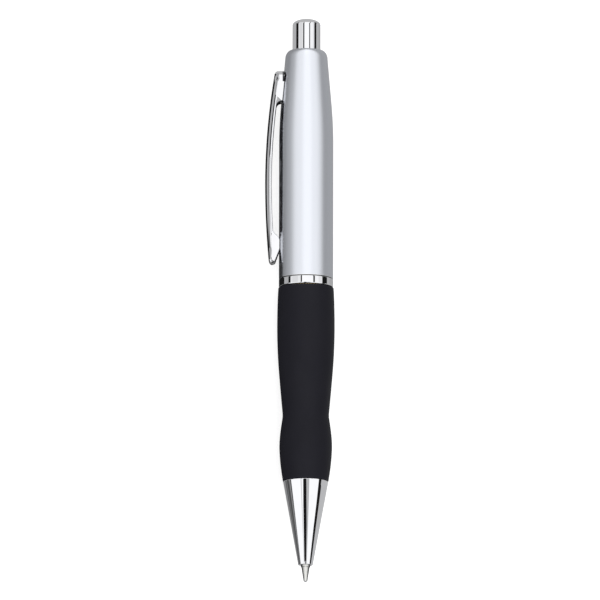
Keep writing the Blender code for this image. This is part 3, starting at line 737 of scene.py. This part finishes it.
TIP_ROUND = 0.95 * MM  # height of the tip's rounding
TIP_CROWN = 0.25  # share of the rounded section at the very tip
TIP_FADE = 3.0 * MM  # above the tip, the section is fully rounded from here
TOP_BEND = 0.9 * MM  # radius of the bend between the face and the roof
TAB_START = 120.4 * MM
TAB_END = 125.6 * MM
TAB_WIDTH = 2.6 * MM
TAB_INNER = 4.25 * MM
LARGE_FACES_LEAD = 100  # weighted normals: the largest faces set the shading
INSIDE_ONLY = 1  # triangulation: keep only what the outline encloses


def clip_face(z):
    """Distance from the pen's axis to the clip's outer face: two shallow arcs that meet at its crown."""
    bow = CLIP_UPPER_BOW_R if z > CLIP_CROWN else CLIP_LOWER_BOW_R
    return CLIP_REACH - (z - CLIP_CROWN) ** 2 / (2 * bow)


def clip_width(z):
    """The clip narrows from the bend at its root to its foot."""
    share = (min(z, CLIP_ROOF - TOP_BEND) - CLIP_START) / (CLIP_TOP - CLIP_START)
    return CLIP_END_WIDTH + (CLIP_TOP_WIDTH - CLIP_END_WIDTH) * share


def crown_share(z):
    """How much of the rounded section the clip's face has: less where the tip rounds off."""
    share = min(1.0, max(0.0, (z - CLIP_TIP) / TIP_FADE))
    return TIP_CROWN + (1 - TIP_CROWN) * share * share * (3 - 2 * share)


def clip_outer():
    """The outer face, the bend and the roof as (distance from the axis, station, share of crown)."""
    bow_steps, bend_steps, roof_steps = 44, 10, 8
    low, high = CLIP_TIP + TIP_ROUND, CLIP_ROOF - TOP_BEND
    stations = [low + (high - low) * i / bow_steps for i in range(bow_steps + 1)]
    outer = [(clip_face(z), z, crown_share(z)) for z in stations]
    bend = quarter(clip_face(high) - TOP_BEND, high, TOP_BEND, TOP_BEND, bend_steps)
    outer += [(x, z, 1.0) for x, z in bend[1:]]
    start, end = bend[-1][0], CLIP_CORE_X
    steps = range(1, roof_steps + 1)
    return outer + [(start + (end - start) * i / roof_steps, CLIP_ROOF, 1.0) for i in steps]


def clip_inner():
    """The root's underside, the fillet, the arm's inner face and the foot, from the top down."""
    arm_steps, fillet_steps, foot_steps = 24, 12, 3
    arm_end = ROOT_FLOOR - ROOT_FILLET
    fillet_x = clip_face(arm_end) - CLIP_DEPTH - ROOT_FILLET
    fillet = quarter(fillet_x, arm_end, ROOT_FILLET, ROOT_FILLET, fillet_steps)
    inner = [(CLIP_CORE_X, ROOT_FLOOR)] + fillet[::-1]
    for i in range(1, arm_steps):
        z = arm_end + (FOOT_TOP - arm_end) * i / arm_steps
        inner.append((clip_face(z) - CLIP_DEPTH, z))
    start = (clip_face(FOOT_TOP) - CLIP_DEPTH, FOOT_TOP)
    inner += through([start, *INSTEP, (FOOT_PAD_X, FOOT_PAD_END)], foot_steps)
    inner += [(FOOT_PAD_X, FOOT_PAD_START), HEEL, HEEL_END]
    return [(x, z, 0.0) for x, z in inner]


def clip_tip():
    """The rounded end, from the heel to the outer face."""
    tip_steps = 4
    low = CLIP_TIP + TIP_ROUND
    face = clip_face(low)
    corner = (face - TIP_CORNER, CLIP_TIP + TIP_CORNER_RISE)
    end = [HEEL_END, TIP_UNDERSIDE, TIP_LOWEST, corner, (face, low)]
    return [(x, z, TIP_CROWN) for x, z in through(end, tip_steps)[1:-1]]


def inward(outline, index):
    """The direction into the solid at one point of an outline that runs counterclockwise in (x, z)."""
    before = Vector(outline[index - 1][:2])
    here = Vector(outline[index][:2])
    after = Vector(outline[(index + 1) % len(outline)][:2])
    along = (after - here).normalized() + (here - before).normalized()
    return Vector((-along.y, along.x)).normalized()


def ring_place(k, crown, half_width):
    """(across, inset) of ring k of the clip: a rounded section mixed with a flat one by crown."""
    angle = SECTION_ANGLE * (2 * k / CLIP_RINGS - 1)
    radius = half_width / math.sin(SECTION_ANGLE)
    rounded = (radius * math.sin(angle), radius * (1 - math.cos(angle)))
    from_side = min(k, CLIP_RINGS - k)
    side = -1 if k < CLIP_RINGS / 2 else 1
    if from_side <= CLIP_EDGE_RINGS:
        a = math.pi / 2 * from_side / CLIP_EDGE_RINGS
        flat = (side * (half_width - CLIP_EDGE * (1 - math.cos(a))), CLIP_EDGE * (1 - math.sin(a)))
    else:
        middle = CLIP_RINGS / 2 - CLIP_EDGE_RINGS
        flat = ((half_width - CLIP_EDGE) * (k - CLIP_RINGS / 2) / middle, 0.0)
    return [crown * r + (1 - crown) * f for r, f in zip(rounded, flat)]


def clip_ring(outline, k):
    """Ring k of the clip: its outline set in from the faces, mitred where the face meets the roof."""
    top_inset = ring_place(k, 1.0, CLIP_TOP_WIDTH / 2)[1]
    roof = CLIP_ROOF - top_inset
    front = clip_face(CLIP_ROOF - TOP_BEND) - top_inset
    ring = []
    for i, (x, z, crown) in enumerate(outline):
        across, inset = ring_place(k, crown, clip_width(z) / 2)
        place = Vector((x, z)) + inward(outline, i) * inset
        if crown == 1.0 and z > CLIP_ROOF - 2 * TOP_BEND:
            place = Vector((min(place.x, front), min(place.y, roof)))
        elif crown > 0:
            place.y = min(place.y, roof)
        if x == CLIP_CORE_X:
            place.x = x
        ring.append((place.x, across, place.y))
    return ring


def fill_side(bm, ring):
    """Fill one side of the clip with well-shaped triangles."""
    flat = [Vector((vert.co.x, vert.co.z)) for vert in ring]
    made = delaunay_2d_cdt(flat, [], [list(range(len(flat)))], INSIDE_ONLY, TINY)
    triangles, origins = made[2], made[3]
    for triangle in triangles:
        bm.faces.new([ring[origins[i][0]] for i in triangle])


def clip_seat():
    """The cutter for the clip: the barrel and its gap, with a notch either side of the tab."""
    outline = [(r + CLIP_SEAT_GAP, z) for r, z in barrel_outline()]
    outline += [(0, BARREL_TOP), (0, BARREL_START)]
    seat = solid("clip_seat", turned(outline, ROUND_STEPS))
    half = TAB_WIDTH / 2
    for low, high in ((-CLIP_TOP_WIDTH, -half), (half, CLIP_TOP_WIDTH)):
        notch = block((0, low, SEAM_LOW), (SEAM_X, high, CLIP_ROOF + TOP_BEND))
        combine(seat, solid("notch_adder", notch), "UNION")
    tab = block((TAB_INNER, -half, TAB_START), (SLOT_OUTER, half, TAB_END))
    combine(seat, solid("tab_cutter", tab), "DIFFERENCE")
    return seat


def clip():
    """A bowed arm with a rounded face, a deep root and a foot, both cut to the barrel's curve."""
    outline = clip_outer() + clip_inner() + clip_tip()
    bm = bmesh.new()
    rings = [[bm.verts.new(place) for place in clip_ring(outline, k)] for k in range(CLIP_RINGS + 1)]
    for low, high in zip(rings, rings[1:]):
        for i in range(len(outline)):
            j = (i + 1) % len(outline)
            bm.faces.new((low[i], low[j], high[j], high[i]))
    fill_side(bm, rings[0])
    fill_side(bm, rings[-1])
    arm = solid("clip_arm", bm)
    combine(arm, clip_seat(), "DIFFERENCE")
    even = arm.modifiers.new("even_shading", "WEIGHTED_NORMAL")
    even.weight = LARGE_FACES_LEAD
    even.keep_sharp = True
    settle(arm, "clip", "clip", clip_chrome())


# ---------------------------------------------------------------- point of the refill


BALL_R = 0.4 * MM
BALL_METAL = (0.55, 0.55, 0.57)
NICKEL_SILVER = (0.72, 0.72, 0.70)
TIP_EASE = 0.04 * MM
TIP_OUTLINE = (  # (radius, distance behind the ball's front) in millimetres
    (0.46, 0.25),
    (0.98, 3.6),
    (1.15, 3.75),
    (1.15, 8.4),
    (0.9, 8.4),
    (0.9, 12.0),
    (0.2, 12.0),
    (0.2, 1.0),
    (0.43, 0.85),
    (0.43, 0.4),
    (0.4, 0.25),
)


def refill_tip():
    """The turned point: a cone, a straight part and the shank in the neck."""
    outline = [(r * MM, z * MM) for r, z in TIP_OUTLINE]
    tip = solid("refill_tip_point", turned(eased(outline, TIP_EASE), FINE_STEPS))
    # edge paints shade on the point's limbs
    look = bare_metal("nickel_silver_look", NICKEL_SILVER, roughness=0.16, edge=0.35)
    settle(tip, "refill", "refill_tip", look)


def writing_ball():
    bm = bmesh.new()
    bmesh.ops.create_icosphere(bm, subdivisions=4, radius=BALL_R)
    bmesh.ops.translate(bm, verts=bm.verts, vec=(0, 0, BALL_R))
    ball = solid("writing_ball_sphere", bm)
    look = bare_metal("ball_metal_look", BALL_METAL, roughness=0.12)
    settle(ball, "ball", "writing_ball", look)


# ---------------------------------------------------------------- pieces kept from the CAD


BLACK_PLASTIC = (0.03, 0.03, 0.033)
WHITE_ACETAL = (0.84, 0.84, 0.81)
GREY_ACETAL = (0.42, 0.43, 0.44)
BRASS = (0.78, 0.60, 0.27)
SPRING_STEEL = (0.62, 0.61, 0.59)
REFILL_STEEL = (0.64, 0.63, 0.61)
BLUE_INK = (0.012, 0.02, 0.12)
GREASE = (0.75, 0.72, 0.55)
O_RING_GRAIN = 0.1 * MM


def inner_pieces():
    """The pieces inside keep their CAD shape and get worked materials."""
    white = moulded("white_acetal_look", WHITE_ACETAL, roughness=0.36)
    looks = {
        "lower_barrel": moulded("black_plastic_look", BLACK_PLASTIC, roughness=0.4),
        "threaded_coupler": bare_metal("coupler_brass_look", BRASS, roughness=0.24),
        "coupler_o_ring": soft_rubber("o_ring_rubber_look", O_RING_GRAIN),
        "guide_sleeve": white,
        "plunger": white,
        "rotor": moulded("grey_acetal_look", GREY_ACETAL, roughness=0.36),
        "return_spring": bare_metal("spring_steel_look", SPRING_STEEL, roughness=0.22, stretch=4.0),
        "refill_tube": bare_metal("refill_steel_look", REFILL_STEEL, roughness=0.28, stretch=6.0),
        "refill_end_plug": moulded("plug_plastic_look", BLACK_PLASTIC, roughness=0.45),
        "refill_neck": bare_metal("neck_brass_look", BRASS, roughness=0.22),
        "refill_ink": moulded("blue_ink_look", BLUE_INK, roughness=0.2),
        "refill_follower": moulded("follower_grease_look", GREASE, roughness=0.18),
    }
    for node, look in looks.items():
        mesh = frame["nodes"][node].data
        for slot in range(max(1, len(mesh.materials))):
            if slot < len(mesh.materials):
                mesh.materials[slot] = look
            else:
                mesh.materials.append(look)


# ---------------------------------------------------------------- studio


CAMERA_TILT = math.radians(10.7)  # the camera stands this far towards the point
CAMERA_ROLL = math.radians(0.11)
FRAME_SPAN = 146.7 * MM  # width of the picture at the pen
FRAME_CENTRE = 70.0 * MM  # distance behind the writing ball of the picture's centre
FRAME_SHIFT = 1.465 * MM  # how far the picture's centre is to the clip's side of the pen's axis
LENS_MM = 1200.0
SENSOR_MM = 36.0
NEAREST_SEEN = 0.01
FARTHEST_SEEN = 100.0


def camera():
    """A long lens at the photo's angle."""
    back = pen_direction(0, math.cos(CAMERA_TILT), -math.sin(CAMERA_TILT))
    up = pen_direction(0, math.sin(CAMERA_TILT), math.cos(CAMERA_TILT))
    right = up.cross(back)
    target = PEN @ Vector((FRAME_SHIFT, 0, FRAME_CENTRE))
    data = bpy.data.cameras.new("camera")
    data.lens = LENS_MM
    data.sensor_width = SENSOR_MM
    data.clip_start = NEAREST_SEEN
    data.clip_end = FARTHEST_SEEN
    distance = FRAME_SPAN / SENSOR_MM * LENS_MM
    turn = Matrix((right, up, back)).transposed().to_4x4() @ Matrix.Rotation(CAMERA_ROLL, 4, "Z")
    obj = bpy.data.objects.new("camera", data)
    obj.matrix_world = Matrix.Translation(target + back * distance) @ turn
    bpy.context.scene.collection.objects.link(obj)
    bpy.context.scene.camera = obj


class Sky(Nodes):
    """The studio round the pen, as a world shader."""

    def __init__(self):
        self.world = bpy.data.worlds.new("studio")
        self.world.use_nodes = True
        super().__init__(self.world.node_tree)
        self.tree.nodes.clear()
        self.ray = self.add("ShaderNodeTexCoord").outputs["Generated"]

    def towards(self, x, y, z):
        """How far the ray points along a direction given by the pen's own axes."""
        return self.along(self.ray, pen_direction(x, y, z))

    def step(self, value, start, stop):
        """0 below start, 1 above stop, smooth between."""
        return self.ranged(value, start=start, stop=stop, interpolation_type="SMOOTHSTEP")

    def mix(self, share, first, second):
        """A number between two, by share."""
        node = self.add("ShaderNodeMix", data_type="FLOAT")
        numbers = [s for s in node.inputs if s.type == "VALUE" and s.name in ("A", "B")]
        for socket, value in zip(numbers, (first, second)):
            self.put(socket, value)
        self.link(share, node.inputs["Factor"])
        return node.outputs[0]

    def kind_of_ray(self, kind):
        return self.add("ShaderNodeLightPath").outputs[kind]

    def bands(self, angle, stops):
        """Brightness by angle round the pen: pairs of (degrees, brightness), each held up to the next."""
        level = stops[0][1]
        for (_, before), (start, after) in zip(stops, stops[1:]):
            low = math.radians(start - BAND_EDGE / 2)
            high = math.radians(start + BAND_EDGE / 2)
            rise = self.ranged(angle, high=after - before, start=low, stop=high)
            level = self.math("ADD", level, rise)
        return level

    def slope(self, angle, stops):
        """Brightness by angle round the pen, running straight between (degrees, brightness) pairs."""
        ramp = self.add("ShaderNodeValToRGB")
        elements = ramp.color_ramp.elements
        while len(elements) < len(stops):
            elements.new(HALF_TURN)
        for element, (degrees, level) in zip(elements, stops):
            element.position = degrees / 360 + HALF_TURN
            element.color = (level, level, level, 1)
        turn = self.math("MULTIPLY_ADD", angle, 1 / (2 * math.pi), HALF_TURN)
        self.link(turn, ramp.inputs["Fac"])
        return ramp.outputs["Color"]


HALF_TURN = 0.5  # the satin ramp's position for the camera's side of the pen
BAND_EDGE = 0.8  # degrees over which one band turns into the next

# Brightness round the pen as (degrees from the camera, level), image left first
MIRROR_BANDS = [
    (-180, 0.46),
    (-98, 0.43),
    (-80.5, 0.01),
    (-69.5, 0.84),
    (-60, 0.76),
    (-35, 0.88),
    (-22.5, 0.01),
    (-17, 1.08),
    (31, 0.01),
    (38, 1.0),
    (55, 0.84),
    (73.5, 0.01),
    (101, 0.48),
    (120, 0.42),
]
CONE_BANDS = [
    (-180, 0.30),
    (-150, 0.26),
    (-128, 0.09),
    (-120, 0.17),
    (-111, 0.07),
    (-101, 0.13),
    (-93, 0.34),
    (-88, 0.07),
    (-80.5, 1.08),
    (-26, 0.62),
    (-22, 1.08),
    (-10, 0.0),
    (1, 0.5),
    (19, 1.08),
    (72, 0.01),
    (89, 0.52),
]
SATIN_SLOPE = [
    (-180, 0.30),
    (-104, 0.31),
    (-92, 0.40),
    (-80, 0.47),
    (-70, 0.52),
    (-62, 0.64),
    (-52, 0.88),
    (-40, 0.98),
    (-20, 1.03),
    (-12, 1.14),
    (-5, 1.20),
    (19, 1.19),
    (26, 1.07),
    (46, 1.04),
    (56, 0.93),
    (66, 0.78),
    (78, 0.46),
    (86, 0.39),
    (110, 0.42),
    (180, 0.42),
]
# How far a reflected ray leans towards the point where one level starts to replace another and is alone
CONE_LEAN = (-0.15, -0.11)  # the plain bands, then the cone's
END_LEAN = (0.62, 0.72)  # either way: the bands, then FAR_LEVEL
FALL_LEAN = (-0.2, -0.9)  # satin light at its own level, then SATIN_FALL times it
SATIN_FALL = 1.05
FAR_LEVEL = 0.5
BACKDROP_LEVEL = 1.05


def studio_light():
    """Long softboxes round the pen, with dark gaps that only mirror finishes show."""
    sky = Sky()
    towards = sky.towards(0, 1, 0)
    right = sky.towards(-1, 0, 0)
    to_point = sky.towards(0, 0, -1)
    angle = sky.math("ARCTAN2", right, towards)
    mirror = sky.bands(angle, MIRROR_BANDS)
    cone = sky.bands(angle, CONE_BANDS)
    mirror = sky.mix(sky.step(to_point, *CONE_LEAN), mirror, cone)
    mirror = sky.mix(sky.step(sky.math("ABSOLUTE", to_point), *END_LEAN), mirror, FAR_LEVEL)
    fall = sky.mix(sky.step(to_point, *FALL_LEAN), 1.0, SATIN_FALL)
    satin = sky.math("MULTIPLY", sky.slope(angle, SATIN_SLOPE), fall)
    level = sky.mix(sky.kind_of_ray("Is Singular Ray"), satin, mirror)
    level = sky.mix(sky.kind_of_ray("Is Camera Ray"), level, BACKDROP_LEVEL)
    background = sky.add("ShaderNodeBackground")
    sky.link(level, background.inputs["Color"])
    output = sky.add("ShaderNodeOutputWorld")
    sky.link(background.outputs["Background"], output.inputs["Surface"])
    bpy.context.scene.world = sky.world


FLOOR_HALF = 6.0
FLOOR_TILES = 12
FLOOR_GREY = (0.5, 0.5, 0.5)
FLOOR_GLOW = 0.8
WHITE = (1, 1, 1, 1)


def floor():
    """A pale tabletop that glows evenly, like a light table."""
    bm = bmesh.new()
    bmesh.ops.create_grid(bm, x_segments=FLOOR_TILES, y_segments=FLOOR_TILES, size=FLOOR_HALF)
    mesh = bpy.data.meshes.new("floor")
    bm.to_mesh(mesh)
    bm.free()
    look = Look("floor_look", FLOOR_GREY, metallic=0.0, roughness=0.8)
    look.feed("Roughness", look.ranged(look.noise(grain=3 * MM), low=0.72, high=0.84))
    look.set("Specular IOR Level", 0.0)
    look.set("Emission Color", WHITE)
    look.set("Emission Strength", FLOOR_GLOW)
    mesh.materials.append(look.material)
    obj = bpy.data.objects.new("floor", mesh)
    bpy.context.scene.collection.objects.link(obj)
    obj.visible_glossy = False
    obj.visible_diffuse = False
    obj.visible_shadow = False


CARD_DISTANCE = 60 * MM  # from the pen's axis to the curved cards
CARD_STEPS = 12
CARD_BLACK = (0.02, 0.02, 0.02)
BLACK_LEVEL = 0.012  # brightness of a black card
CAP_STATIONS = (143.5 * MM, 156 * MM)  # only the button mirrors these
CAP_BANDS = [  # degrees where a card starts and ends, and its brightness
    (-92, -78, BLACK_LEVEL),
    (-26.8, -20.5, BLACK_LEVEL),
    (22, 29.5, BLACK_LEVEL),
    (29.5, 40, 1.0),
    (66.5, 87.5, BLACK_LEVEL),
    (87.5, 103, 0.48),
]
CONE_STATIONS = (-6 * MM, 19 * MM)
LIMB_LEVEL = 0.03
LIMB_REACH = (7.5 * MM, 24 * MM)  # the flat card's nearest and farthest distance from the axis
LIMB_DEPTH = 6 * MM  # how far behind the pen's axis it stands
LIMB_STATIONS = (16 * MM, 121.5 * MM)


def card(name, bm, by_mirrors, level):
    """A card seen only in reflections: those of mirror finishes, or those of satin ones."""
    look = Look(name + "_look", CARD_BLACK, metallic=0.0, roughness=0.9)
    glow = look.add("ShaderNodeEmission")
    glow.inputs["Strength"].default_value = level
    clear = look.add("ShaderNodeBsdfTransparent")
    seen = look.add("ShaderNodeMixShader")
    shown, other = (2, 1) if by_mirrors else (1, 2)
    look.link(look.add("ShaderNodeLightPath").outputs["Is Singular Ray"], seen.inputs["Fac"])
    look.link(glow.outputs["Emission"], seen.inputs[shown])
    look.link(clear.outputs["BSDF"], seen.inputs[other])
    look.link(seen.outputs["Shader"], look.tree.nodes["Material Output"].inputs["Surface"])
    obj = solid(name, bm)
    obj.data.materials.append(look.material)
    obj.visible_camera = False
    obj.visible_diffuse = False
    obj.visible_shadow = False


def curved_card(name, start, end, stations, flare=0, level=BLACK_LEVEL):
    """A card bent round the pen between two angles and two stations, flare wider at its low end."""
    bm = bmesh.new()
    middle, half = (start + end) / 2, (end - start) / 2
    columns = []
    for i in range(CARD_STEPS + 1):
        share = 2 * i / CARD_STEPS - 1
        column = []
        for z, half_span in zip(stations, (half + flare, half)):
            angle = math.radians(middle + share * half_span)
            x, y = -CARD_DISTANCE * math.sin(angle), CARD_DISTANCE * math.cos(angle)
            column.append(bm.verts.new((x, y, z)))
        columns.append(column)
    for a, b in zip(columns, columns[1:]):
        bm.faces.new((a[0], b[0], b[1], a[1]))
    card(name, bm, True, level)


def limb_card():
    """A flat card behind the clip's side of the pen, which darkens the satin and rubber limbs there."""
    bm = bmesh.new()
    (near, far), (low, high) = LIMB_REACH, LIMB_STATIONS
    corners = ((near, low), (far, low), (far, high), (near, high))
    bm.faces.new([bm.verts.new((x, -LIMB_DEPTH, z)) for x, z in corners])
    card("limb_card", bm, False, LIMB_LEVEL)


def cards():
    """The cards that give the chrome its crisp lines, and the one for the limbs."""
    curved_card("side_card", start=-190, end=-114, stations=(74 * MM, 142.5 * MM))
    curved_card("edge_card", start=-114, end=-107, stations=(87.5 * MM, 142.5 * MM))
    curved_card("ring_card", start=-114, end=-101, stations=(80.5 * MM, 87.5 * MM))
    for number, (start, end, level) in enumerate(CAP_BANDS):
        curved_card(f"cap_card_{number}", start, end, CAP_STATIONS, level=level)
    curved_card("cone_middle_card", start=-11, end=2, stations=CONE_STATIONS, flare=8)
    curved_card("cone_right_card", start=71, end=89, stations=CONE_STATIONS, flare=6)
    limb_card()


# ---------------------------------------------------------------- assembly


upper_barrel()
centre_ring()
rubber_grip()
nose_cone()
button_cap()
clip()
refill_tip()
writing_ball()
inner_pieces()
floor()
cards()
studio_light()
camera()
bpy.context.scene.view_settings.view_transform = "Standard"
